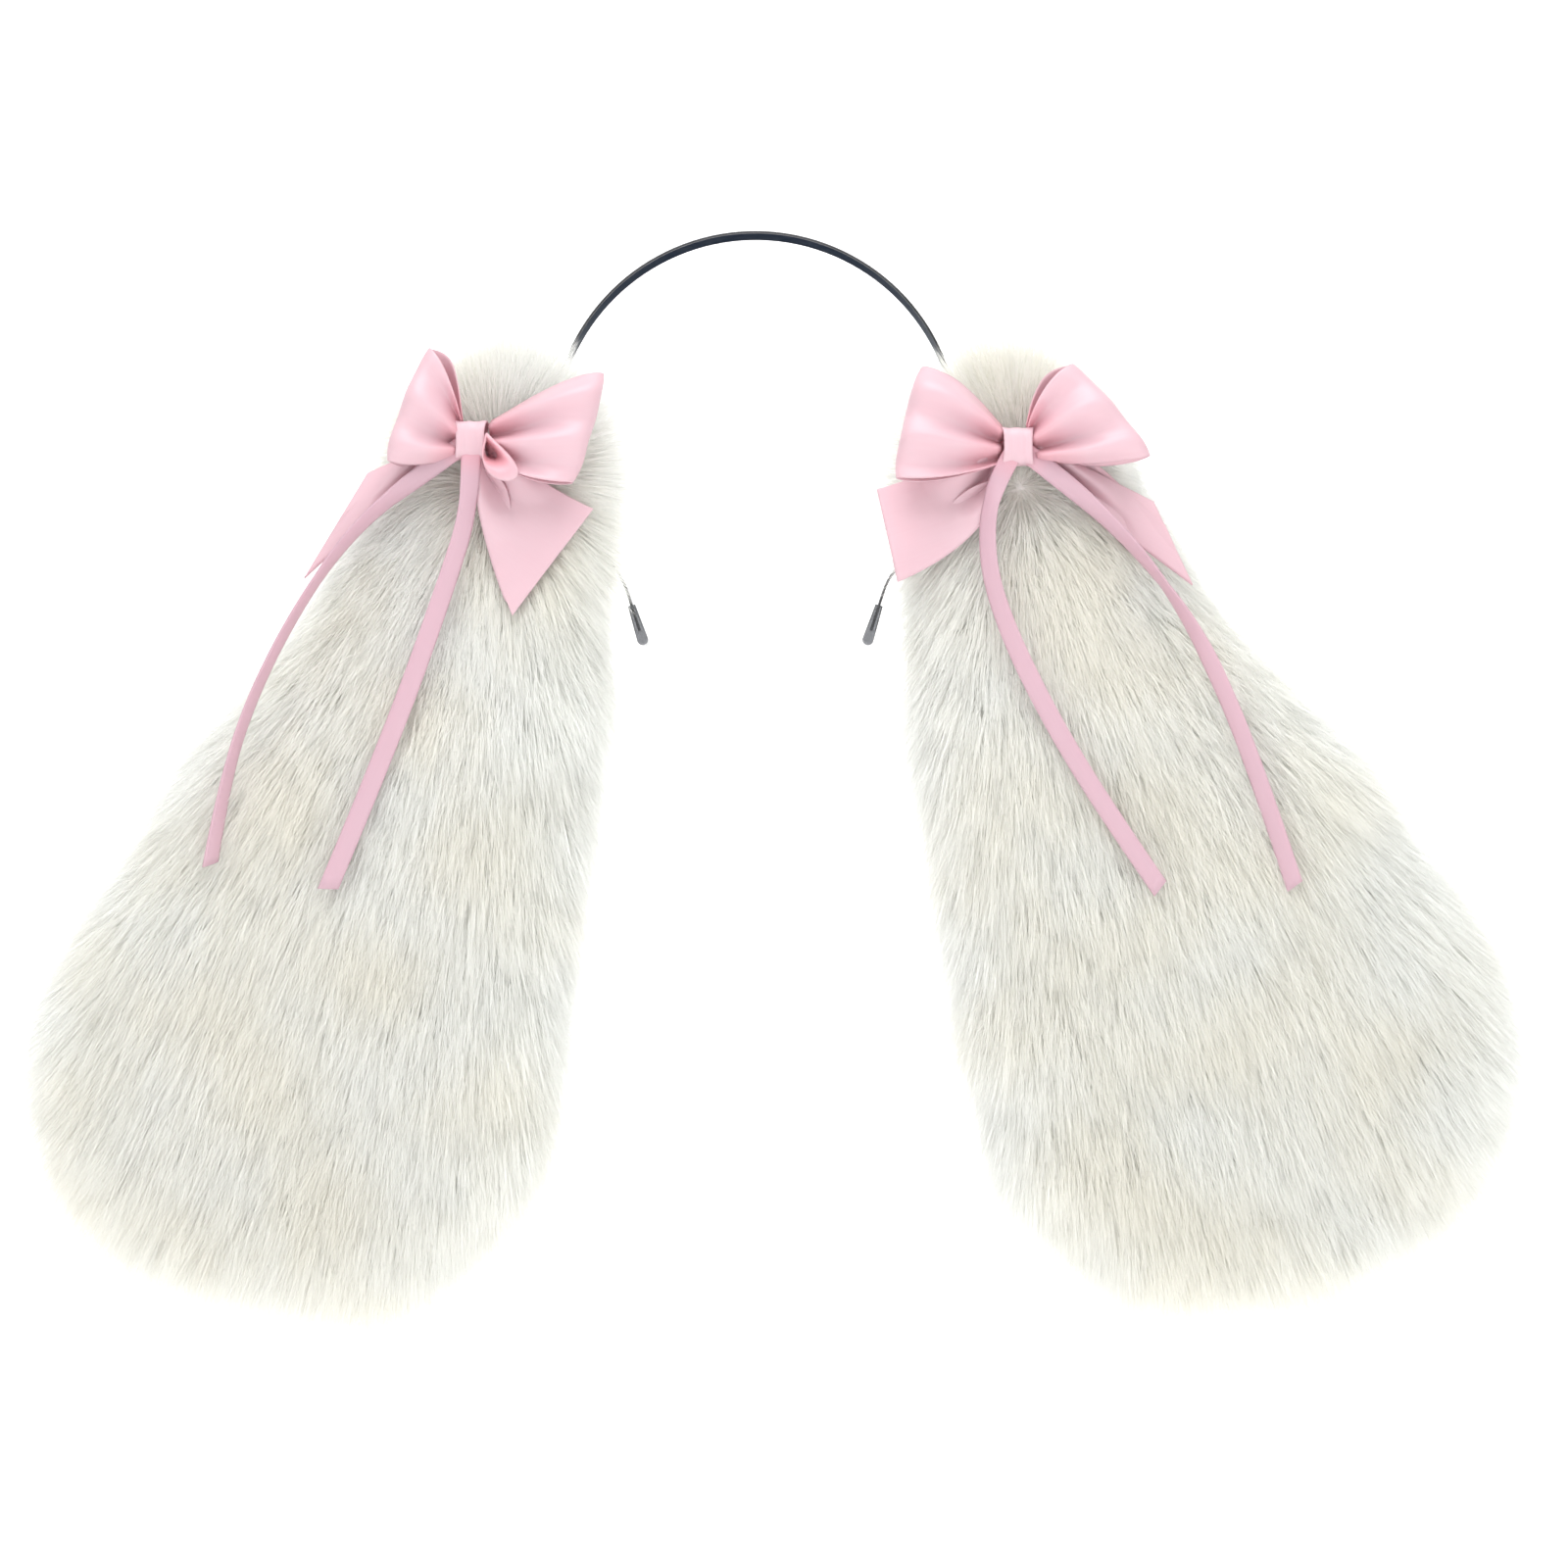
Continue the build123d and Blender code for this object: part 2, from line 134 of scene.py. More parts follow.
class Finish:
    """A material under construction: a Principled shader and the nodes that feed it."""

    def __init__(self, name, **surface):
        self.material = bpy.data.materials.new(name)
        self.material.use_nodes = True
        self.nodes = self.material.node_tree.nodes
        self.links = self.material.node_tree.links
        self.nodes.clear()
        named = {key.replace("_", " "): value for key, value in surface.items()}
        self.shader = self.node("ShaderNodeBsdfPrincipled", {}, named)
        self.output = self.nodes.new("ShaderNodeOutputMaterial")
        self.links.new(self.shader.socket, self.output.inputs["Surface"])

    def node(self, kind, settings, inputs, result=0):
        """Adds a node: its settings first, then its sockets' values or links."""
        node = self.nodes.new(kind)
        for key, value in settings.items():
            if key == "stops":
                ramp = node.color_ramp.elements
                while len(ramp) < len(value):
                    ramp.new(0.5)
                for element, (place, colour) in zip(ramp, value):
                    element.position, element.color = place, colour
            else:
                setattr(node, key, value)
        for key, value in inputs.items():
            socket = node.inputs[key]
            if isinstance(value, Value):
                self.links.new(value.socket, socket)
            elif socket.type == "RGBA" and len(value) == 3:
                socket.default_value = (*value, 1)
            else:
                socket.default_value = value
        return Value(self, node.outputs[result])

    def mix(self, share, first, second):
        """A colour between two, by share."""
        settings = {"data_type": "RGBA"}
        return self.node("ShaderNodeMix", settings, {0: share, 6: first, 7: second}, 2)

    def place(self, result="Object"):
        """Where a point lies on the piece."""
        return self.node("ShaderNodeTexCoord", {}, {}, result)

    def along_and_across(self, uv_map):
        """The two coordinates of the piece's own cloth map."""
        flat = self.node("ShaderNodeUVMap", {"uv_map": uv_map}, {})
        return tuple(
            self.node("ShaderNodeSeparateXYZ", {}, {"Vector": flat}, axis) for axis in ("X", "Y")
        )

    def joined(self, x, y, z=0.0):
        """A vector from three values."""
        return self.node("ShaderNodeCombineXYZ", {}, {"X": x, "Y": y, "Z": z})

    def noise(self, vector, scale, detail=2.0, roughness=0.5):
        """Smooth random mottle, about 0.5 on average."""
        inputs = {"Vector": vector, "Scale": scale, "Detail": detail, "Roughness": roughness}
        return self.node("ShaderNodeTexNoise", {}, inputs, 0)

    def bump(self, height, strength, distance):
        """The shading normal over a height in units of distance, in metres."""
        inputs = {"Height": height, "Strength": strength, "Distance": distance}
        return self.node("ShaderNodeBump", {}, inputs)

    def feed(self, **inputs):
        """Links values into the Principled shader."""
        for key, value in inputs.items():
            target = self.shader.socket.node.inputs[key.replace("_", " ")]
            self.links.new(value.socket, target)
        return self.material


def satin(name, colour, deep, through):
    """Woven satin: long floating warp threads that streak the sheen, a painted shade of deeper pink
    in the last 12 mm before a gather, and a share of light that comes through the thin cloth."""
    finish = Finish(name, Sheen_Weight=0.08, Sheen_Roughness=0.4, Anisotropic=0.6)
    along, across = finish.along_and_across("cloth")
    streak = finish.noise(finish.joined(along * 60, across * 1400), 1.0, 3.0)
    cloud = finish.noise(finish.joined(along * 45, across * 45), 1.0, 2.0)
    weft = finish.node("ShaderNodeMath", {"operation": "SINE"}, {0: along * 16000.0})
    tint = (0.55 * streak + 0.45 * cloud).clipped()
    height = 0.6 * streak + 0.12 * weft
    # Painted shade: a deeper pink over the last 12 mm before a gather, for the shade among the
    # pleats.
    gathered = 0.65 * ((SATIN_GATHER_SHADE_RUN - along) * (1 / SATIN_GATHER_SHADE_RUN)).clipped()
    material = finish.feed(
        Base_Color=finish.mix(gathered, finish.mix(tint, deep, colour), SATIN_GATHER_SHADE),
        Roughness=0.22 + 0.22 * streak,
        Normal=finish.bump(height, 0.25, 0.00012),
    )
    shine_through = finish.node("ShaderNodeBsdfTranslucent", {}, {"Color": through})
    shares = {0: SATIN_SHEERNESS, 1: finish.shader, 2: shine_through}
    both = finish.node("ShaderNodeMixShader", {}, shares)
    finish.links.new(both.socket, finish.output.inputs["Surface"])
    return material


def mesh_object(name, points, faces, material, uv=None, uv_name="cloth"):
    """An object from points and arrays of faces; uv gives one place per point."""
    corners = np.concatenate([np.asarray(f).ravel() for f in faces]).astype(np.int32)
    sizes = np.concatenate([np.full(len(f), f.shape[1]) for f in map(np.asarray, faces)])
    starts = np.concatenate([[0], np.cumsum(sizes)[:-1]]).astype(np.int32)
    mesh = bpy.data.meshes.new(name)
    mesh.vertices.add(len(points))
    mesh.loops.add(len(corners))
    mesh.polygons.add(len(sizes))
    mesh.vertices.foreach_set("co", np.asarray(points, np.float32).ravel())
    mesh.loops.foreach_set("vertex_index", corners)
    mesh.polygons.foreach_set("loop_start", starts)
    mesh.polygons.foreach_set("use_smooth", np.ones(len(sizes), bool))
    if uv is not None:
        layer = mesh.uv_layers.new(name=uv_name)
        layer.uv.foreach_set("vector", np.asarray(uv, np.float32)[corners].ravel())
    mesh.update(calc_edges=True)
    mesh.materials.append(material)
    piece = bpy.data.objects.new(name, mesh)
    scene.collection.objects.link(piece)
    return piece


def grid_faces(rows, columns, first=0, closed=False):
    """Four-cornered faces between the points of a grid, whose columns may close on themselves."""
    row, column = np.mgrid[0 : rows - 1, 0 : columns if closed else columns - 1]
    beside = (column + 1) % columns
    quad = [row * columns + column, row * columns + beside,
            (row + 1) * columns + beside, (row + 1) * columns + column]
    return first + np.stack(quad, -1).reshape(-1, 4)


def thicken(piece, thickness):
    """Gives a sheet its cloth thickness, equally to both sides."""
    solid = piece.modifiers.new("thickness", "SOLIDIFY")
    solid.thickness, solid.offset = thickness, 0.0
    return piece


def unit(vectors):
    """The same directions with length one."""
    return vectors / np.linalg.norm(vectors, axis=-1, keepdims=True)


def knot_middle(side):
    """The middle of a bow's knot."""
    low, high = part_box(f"{side}_bow_knot_wrap")
    return np.array((low + high) / 2)


def route_line(name, route):
    """Points along the smooth NURBS line that has the route's points as its controls."""
    curve = bpy.data.curves.new(name, "CURVE")
    curve.dimensions, curve.resolution_u = "3D", 16
    spline = curve.splines.new("NURBS")
    spline.points.add(len(route) - 1)
    for point, place in zip(spline.points, route):
        point.co = (*place, 1)
    spline.order_u = 3
    spline.use_endpoint_u = True
    holder = bpy.data.objects.new(name, curve)
    line = bpy.data.meshes.new_from_object(holder)
    points = np.array([vertex.co for vertex in line.vertices])
    bpy.data.objects.remove(holder)
    bpy.data.meshes.remove(line)
    return points


def streamer(side, part, material):
    """A flat ribbon carried along its line: each point lies across the line by its share of the
    width, turned about the line by the twist, and the last stretch is drawn out by the slant."""
    knot = knot_middle(side)
    depth = knot[1] + STREAMER_FRONT[part]
    route = [(knot[0] + SIDES[side] * out, depth, knot[2] + up)
             for out, up in STREAMER_ROUTES[side, part]]
    line = route_line(f"{side}_{part}_line", route)
    steps = np.linalg.norm(np.diff(line, axis=0), axis=1)
    run = np.concatenate([[0], np.cumsum(steps)])
    share = run / run[-1]
    tangent = unit(np.gradient(line, run, axis=0))
    front = np.array([0.0, -1.0, 0.0])
    level = unit(np.cross(tangent, front))
    turn = np.radians(np.interp(share, *STREAMER_TWISTS[side, part]))[:, None]
    sideways = np.cos(turn) * level + np.sin(turn) * front
    face = unit(np.cross(sideways, tangent))
    across = np.linspace(-1, 1, 9)
    slant = STREAMER_SLANT * np.clip((share - 0.9) / 0.1, 0, 1)
    cup = STREAMER_CUP * (1 - across**2)
    points = (
        line[:, None]
        + sideways[:, None] * across[None, :, None] * STREAMER_WIDTH / 2
        + tangent[:, None] * (slant[:, None] * across)[..., None]
        + face[:, None] * cup[None, :, None]
    )
    uv = np.stack(np.broadcast_arrays(run[:, None], across * STREAMER_WIDTH / 2), -1)
    faces = grid_faces(*points.shape[:2])
    piece = mesh_object(f"{side}_{part}_streamer_ribbon", points.reshape(-1, 3), [faces],
                        material, uv.reshape(-1, 2))
    thicken(piece, STREAMER_THICKNESS)
    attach(piece, f"{side}_ear")
    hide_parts(f"{side}_{part}_streamer")


narrow_satin = satin("narrow_satin", SATIN_NARROW, SATIN_NARROW_DEEP, SATIN_NARROW_THROUGH)
for side, part in STREAMER_ROUTES:
    streamer(side, part, narrow_satin)

# ---------------------------------------------------------------------------------------------
# Strip. One length of spring steel, rolled, polished on both faces and bent to the crown, with
# fine draw lines along its length and a few rubs from wear.
steel = Finish("polished_steel", Metallic=1.0, Anisotropic=0.4, Specular_Tint=(0.22, 0.23, 0.25))
spot = steel.place()
draw_lines = steel.noise(steel.node("ShaderNodeMapping", {}, {
    "Vector": spot, "Scale": (30.0, 2600.0, 30.0)}), 1.0, 3.0)
rubs = steel.noise(spot, 160.0, 4.0, 0.6)
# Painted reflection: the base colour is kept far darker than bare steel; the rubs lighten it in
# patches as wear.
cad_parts["band_strip"].data.materials.clear()
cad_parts["band_strip"].data.materials.append(steel.feed(
    Base_Color=steel.mix(rubs, (0.10, 0.102, 0.108), (0.17, 0.172, 0.18)),
    Roughness=0.12 + 0.16 * draw_lines * rubs,
    Normal=steel.bump(draw_lines, 0.12, 0.00003),
))

# ---------------------------------------------------------------------------------------------
# Tip caps. Clear dipped plastic drops on the strip's ends, glossy, with faint flow marks.
clear = Finish("clear_plastic", Base_Color=(0.22, 0.225, 0.24), Transmission_Weight=0.75, IOR=1.49)
flow = clear.noise(clear.place(), 420.0, 2.0)
clear_plastic = clear.feed(Roughness=0.03 + 0.06 * flow, Normal=clear.bump(flow, 0.2, 0.0002))
for side in SIDES:
    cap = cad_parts[f"{side}_tip_cap"]
    cap.data.materials.clear()
    cap.data.materials.append(clear_plastic)

# ---------------------------------------------------------------------------------------------
# Sleeves. Each is a folded strip of woven cotton tape, sewn into a flat tube round the steel,
# with its ends turned under and a line of stitching near each end.
SLEEVE_RIPPLE = 0.00018
SLEEVE_WALL = 0.0008
SLEEVE_STITCH_DENT = 0.00035
SLEEVE_STITCH_PLACE = 0.86  # share of the way from the sleeve's middle to its end
SLEEVE_GRID = (49, 64)  # points along the sleeve and round it
TAPE_WHITE = (0.86, 0.85, 0.80)
# the darker colour: slub tone of the thread, and painted shade where the weave dips
TAPE_SLUB_AND_WEAVE_SHADE = (0.70, 0.68, 0.62)


def tape(name, colour, deep):
    """Plain-woven tape: crossing threads that stand up in turn, with slubs in the colour."""
    finish = Finish(name, Sheen_Weight=0.15)
    along, across = finish.along_and_across("cloth")
    warp = finish.node("ShaderNodeMath", {"operation": "SINE"}, {0: across * 9000.0})
    weft = finish.node("ShaderNodeMath", {"operation": "SINE"}, {0: along * 9000.0})
    slub = finish.noise(finish.joined(along * 300, across * 900), 1.0, 3.0)
    # Slubs are the thread's own tone; warp times weft is painted shade in the weave's hollows.
    return finish.feed(
        Base_Color=finish.mix((0.5 * slub + 0.25 + 0.12 * warp * weft).clipped(), deep, colour),
        Roughness=0.75 + 0.15 * slub,
        Normal=finish.bump(warp * weft + slub, 0.5, 0.0002),
    )


def sleeve(side, material):
    """A flat tube bent round the crown: at each step of the sweep a rounded oblong, with small
    ripples that grow towards the ends where the stitching draws it in."""
    half_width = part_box(f"{side}_sleeve")[1][1]
    sign = SIDES[side]
    rows, columns = SLEEVE_GRID
    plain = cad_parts[f"{side}_sleeve"].data
    rim = np.empty(len(plain.vertices) * 3, np.float32)
    plain.vertices.foreach_get("co", rim)
    rim = rim.reshape(-1, 3)
    distance = np.hypot(rim[:, 0], rim[:, 2])
    angles = np.arctan2(rim[:, 0] * sign, rim[:, 2])
    inner, outer = distance.min(), distance.max()
    middle, half_height = (inner + outer) / 2, (outer - inner) / 2
    sweep = np.linspace(angles.min(), angles.max(), rows)[:, None]
    round_it = np.linspace(0, 2 * np.pi, columns, endpoint=False)[None]
    end = np.abs(np.linspace(-1, 1, rows))[:, None]
    oblong_x = np.sign(np.cos(round_it)) * np.abs(np.cos(round_it)) ** 0.35
    oblong_y = np.sign(np.sin(round_it)) * np.abs(np.sin(round_it)) ** 0.6
    ripple = SLEEVE_RIPPLE * np.sin(9 * round_it + 3 * end) * (0.3 + end**4)
    stitched = SLEEVE_STITCH_DENT * np.exp(-(((end - SLEEVE_STITCH_PLACE) / 0.03) ** 2))
    width = (half_width - 0.0004 - stitched * 0.6) * oblong_x + ripple
    height = (half_height - 0.0003 - stitched * 0.6 + ripple) * oblong_y
    radius = middle + height
    points = np.stack([sign * radius * np.sin(sweep), -width, radius * np.cos(sweep)], -1)
    uv = np.stack(np.broadcast_arrays(middle * sweep, 0.004 * round_it), -1).reshape(-1, 2)
    piece = mesh_object(f"{side}_sleeve_tape", points.reshape(-1, 3),
                        [grid_faces(rows, columns, closed=True)[:, :: -sign]], material, uv)
    solid = piece.modifiers.new("wall", "SOLIDIFY")
    solid.thickness, solid.offset = SLEEVE_WALL, -1.0
    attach(piece, f"{side}_sleeve")
    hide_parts(f"{side}_sleeve")


cotton_tape = tape("cotton_tape", TAPE_WHITE, TAPE_SLUB_AND_WEAVE_SHADE)
for side in SIDES:
    sleeve(side, cotton_tape)

# ---------------------------------------------------------------------------------------------
# Thread. Twisted polyester sewing thread: the shank between sleeve and ear, the stitches that
# close the ear, the tie round the bow's middle and the stitches that hold the bow.
thread = Finish("sewing_thread", Sheen_Weight=0.3)
spot = thread.place()
twist = thread.node("ShaderNodeTexWave", {"wave_type": "BANDS", "bands_direction": "DIAGONAL"}, {
    "Vector": spot, "Scale": 900.0, "Distortion": 0.6}, "Fac")
fuzz = thread.noise(spot, 2500.0, 3.0)
# Painted shade darkens the twist's grooves, the bands of the bump; the fuzz mottle is the thread's
# own.
sewing_thread = thread.feed(
    Base_Color=thread.mix(0.6 * twist + 0.4 * fuzz, (0.74, 0.73, 0.68), (0.92, 0.91, 0.87)),
    Roughness=0.55 + 0.25 * fuzz,
    Normal=thread.bump(twist + 0.3 * fuzz, 0.5, 0.00025),
)
for side in SIDES:
    for work in ("anchor_stitches", "closing_stitches", "bow_tie_thread", "bow_stitches"):
        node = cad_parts[f"{side}_{work}"]
        node.data.materials.clear()
        node.data.materials.append(sewing_thread)

# ---------------------------------------------------------------------------------------------
# Ears. Two panels of long-pile fabric are sewn face to face, turned and stuffed, which makes a
# soft pad; the pad is worked out by letting the filling swell its cover under pressure.
VOXEL = 0.005
PRESSURE = 4.0
FRAMES = 20
PUFF_LIMIT = 0.0042
FULLNESS = {"left": (0.006, 0.010), "right": (0.008, 0.015)}  # outward, and towards the head


def smooth_step(value, low, high):
    """0 below low, 1 above high, and an even rise between."""
    share = np.clip((value - low) / (high - low), 0, 1)
    return share * share * (3 - 2 * share)


def ear_axes(side, points):
    """The middle of the ear's top, and the directions down it and outward across it, from
    points spread evenly over it: the flat direction in which they spread most is the length."""
    middle = points.mean(0)
    axis = np.linalg.eigh(np.cov((points - middle)[:, [0, 2]].T))[1][:, 1]
    axis *= -np.sign(axis[1])
    down = np.array([axis[0], 0, axis[1]])
    across = np.array([-axis[1], 0, axis[0]]) * SIDES[side]
    return middle + down * ((points - middle) @ down).min(), down, across


def fill_out(side, mesh):
    """Moves the cover out sideways, by amounts that grow from nothing at the neck, later on the
    outer side than on the side towards the head, and fall off again at the broad end."""
    points = np.empty(len(mesh.vertices) * 3, np.float32)
    mesh.vertices.foreach_get("co", points)
    points = points.reshape(-1, 3)
    top, down, across = ear_axes(side, points)
    below, beside = (points - top) @ down, (points - top) @ across
    grow = np.where(beside > 0, FULLNESS[side][0] * smooth_step(below, 0.09, 0.17),
                    FULLNESS[side][1] * smooth_step(below, 0.02, 0.10))
    share = np.tanh(np.abs(beside) / 0.03)
    share = share * (1 - 0.6 * smooth_step(below, 0.24, 0.285))
    points = points + (np.sign(beside) * grow * share)[:, None] * across
    mesh.vertices.foreach_set("co", points.ravel())


def stuffed_pad(side, material):
    """The filling's shape, remeshed and swollen as cloth, with each point's travel limited."""
    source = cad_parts[f"{side}_ear_filling"]
    start = bpy.data.objects.new(f"{side}_pad_start", source.data.copy())
    scene.collection.objects.link(start)
    remesh = start.modifiers.new("remesh", "REMESH")
    remesh.mode, remesh.voxel_size = "VOXEL", VOXEL
    depsgraph = bpy.context.evaluated_depsgraph_get()
    mesh = bpy.data.meshes.new_from_object(start.evaluated_get(depsgraph))
    bpy.data.objects.remove(start)
    fill_out(side, mesh)
    mesh.materials.clear()
    mesh.materials.append(material)
    pad = bpy.data.objects.new(f"{side}_ear_pad", mesh)
    scene.collection.objects.link(pad)
    rest = np.empty(len(mesh.vertices) * 3, np.float32)
    mesh.vertices.foreach_get("co", rest)
    rest = rest.reshape(-1, 3)
    cloth = pad.modifiers.new("cloth", "CLOTH").settings
    cloth.use_pressure, cloth.uniform_pressure_force = True, PRESSURE
    cloth.effector_weights.gravity = 0.0
    for number in range(1, FRAMES + 1):
        scene.frame_set(number)
    swollen = pad.evaluated_get(bpy.context.evaluated_depsgraph_get()).data
    moved = np.empty(len(rest) * 3, np.float32)
    swollen.vertices.foreach_get("co", moved)
    travel = moved.reshape(-1, 3) - rest
    length = np.linalg.norm(travel, axis=1, keepdims=True)
    travel *= np.minimum(1, PUFF_LIMIT / np.maximum(length, 1e-9))
    pad.modifiers.clear()
    scene.frame_set(1)
    mesh.vertices.foreach_set("co", (rest + travel).ravel())
    mesh.update()
    mesh.polygons.foreach_set("use_smooth", np.ones(len(mesh.polygons), bool))
    smooth = pad.modifiers.new("smooth", "SUBSURF")
    smooth.levels = smooth.render_levels = 1
    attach(pad, f"{side}_ear")
    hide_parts(*(f"{side}_ear_{part}" for part in ("front_panel", "back_panel", "filling")))
    return pad


backing = Finish("pile_backing", Sheen_Weight=0.2)
spot = backing.place()
knit = backing.node("ShaderNodeTexVoronoi", {}, {"Vector": spot, "Scale": 900.0}, "Distance")
patch = backing.noise(spot, 28.0, 3.0)
pile_backing = backing.feed(
    Base_Color=backing.mix(patch, (0.93, 0.91, 0.85), (0.95, 0.945, 0.92)),
    Roughness=0.85 + 0.1 * knit,
    Normal=backing.bump(knit, 0.4, 0.0004),
)
pads = {side: stuffed_pad(side, pile_backing) for side in SIDES}

# ---------------------------------------------------------------------------------------------
# Pile. Long soft fibres stand out of the panels and are combed from the ear's neck down and
# outward. They gather into fine locks, fly a little at the outline, and lie flat where the
# strip and the bow press on them.
FIBRES = 60000  # in each piece of the pile
PILE_SEEDS = {"left": 11, "right": 12}
PILE_PIECES = {"front": ("neck", "middle", "end"), "back": ("upper", "lower")}
FIBRE_WIDTH = 0.00024
FIBRE_LEVELS = (0.0, 0.55, 1.0)  # root, bend and tip, as shares of the length
FIBRE_LENGTH = 0.029
FRONT_LIMIT = -0.0480  # depths past which the pile lies folded over,
BACK_LIMIT = 0.0150
FOLD_SHARE = 0.92  # the share of the way back that it is folded,
BOW_ROOM = 0.0045  # and how much sooner it folds near the bow
COMB_START = 0.034  # below the ear's top, the place that the comb leads away from in front
BACK_COMB_START = -0.012  # and at the back
NECK_TRIM = 0.28  # share by which the pile is shorter round the neck,
SLIM_TRIM = 0.42  # again on the neck's outer side,
END_TRIM = 0.06  # and at the broad end;
BUSH_GROWTH = 0.38  # and by which it is longer on the neck's side towards the head
LOCKS = ((0.0045, 0.38), (0.014, 0.6))  # spacing of the locks, and how far tips draw together


def waves(points, spacing, seed, count=20):
    """A smooth random field and its slope: sines in random directions about one spacing long."""
    draw = np.random.default_rng(seed)
    ways = unit(draw.normal(size=(count, 3))) * 2 * np.pi / spacing
    ways *= draw.uniform(0.7, 1.4, (count, 1))
    angle = points @ ways.T + draw.uniform(0, 2 * np.pi, count)
    scale = math.sqrt(2 / count)
    return np.sin(angle).sum(1) * scale, np.cos(angle) @ ways * scale


def roots_on(pad, count, draw):
    """Random places on a pad's four-cornered faces, evenly by area, and the outward normals."""
    mesh = pad.data
    points = np.empty(len(mesh.vertices) * 3, np.float32)
    normals = np.empty(len(mesh.vertices) * 3, np.float32)
    mesh.vertices.foreach_get("co", points)
    mesh.vertex_normals.foreach_get("vector", normals)
    points, normals = points.reshape(-1, 3), normals.reshape(-1, 3)
    corners = np.empty(len(mesh.loops), np.int32)
    mesh.loops.foreach_get("vertex_index", corners)
    corners = corners.reshape(-1, 4)
    area = np.empty(len(mesh.polygons), np.float32)
    mesh.polygons.foreach_get("area", area)
    chosen = corners[draw.choice(len(area), count, p=area / area.sum())]
    u, v = draw.random((2, count, 1))
    weights = ((1 - u) * (1 - v), u * (1 - v), u * v, (1 - u) * v)
    place = sum(weight * points[chosen[:, k]] for k, weight in enumerate(weights))
    normal = sum(weight * normals[chosen[:, k]] for k, weight in enumerate(weights))
    return place, unit(normal)


